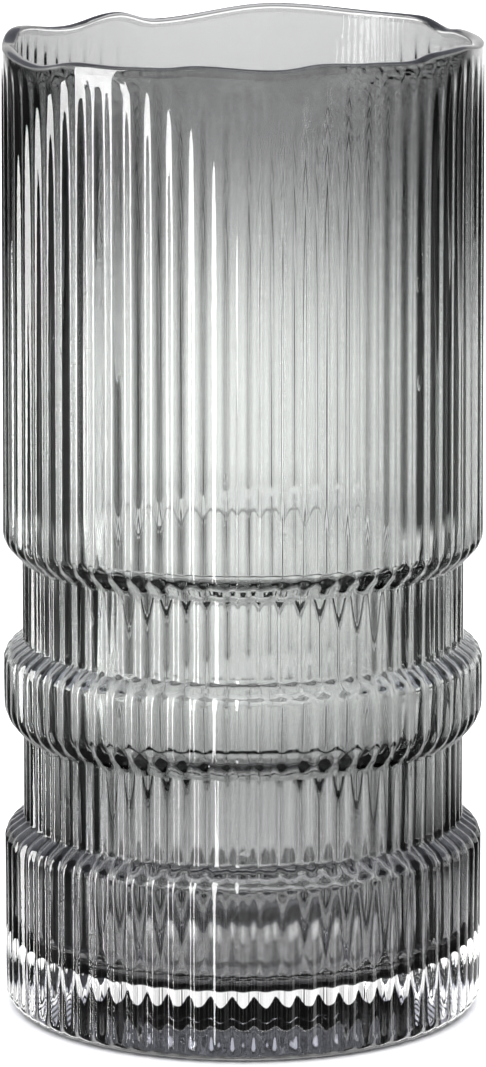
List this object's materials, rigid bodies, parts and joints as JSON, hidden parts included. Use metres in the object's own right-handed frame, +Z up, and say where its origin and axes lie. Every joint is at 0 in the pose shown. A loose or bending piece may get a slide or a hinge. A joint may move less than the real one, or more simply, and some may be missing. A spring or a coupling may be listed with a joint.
{
  "type": "vase",
  "caption": "Fluted three-tier cylinder vase in cased glass: a clear ribbed casing with a heavy foot and wavy rim, lined with smoke-grey glass.",
  "frame": {"origin": "centre of the foot ring, on the surface that the vase stands on", "axes": "+Z up along the vase's axis, -Y towards the front"},
  "size_m": [0.1228, 0.1228, 0.2519],
  "materials": {
    "clear_glass": "fire-polished clear glass",
    "smoke_glass": "fire-polished smoke-grey glass"
  },
  "bodies": {
    "root": {"clear_casing": "clear_glass", "smoke_lining": "smoke_glass"}
  },
  "joints": []
}
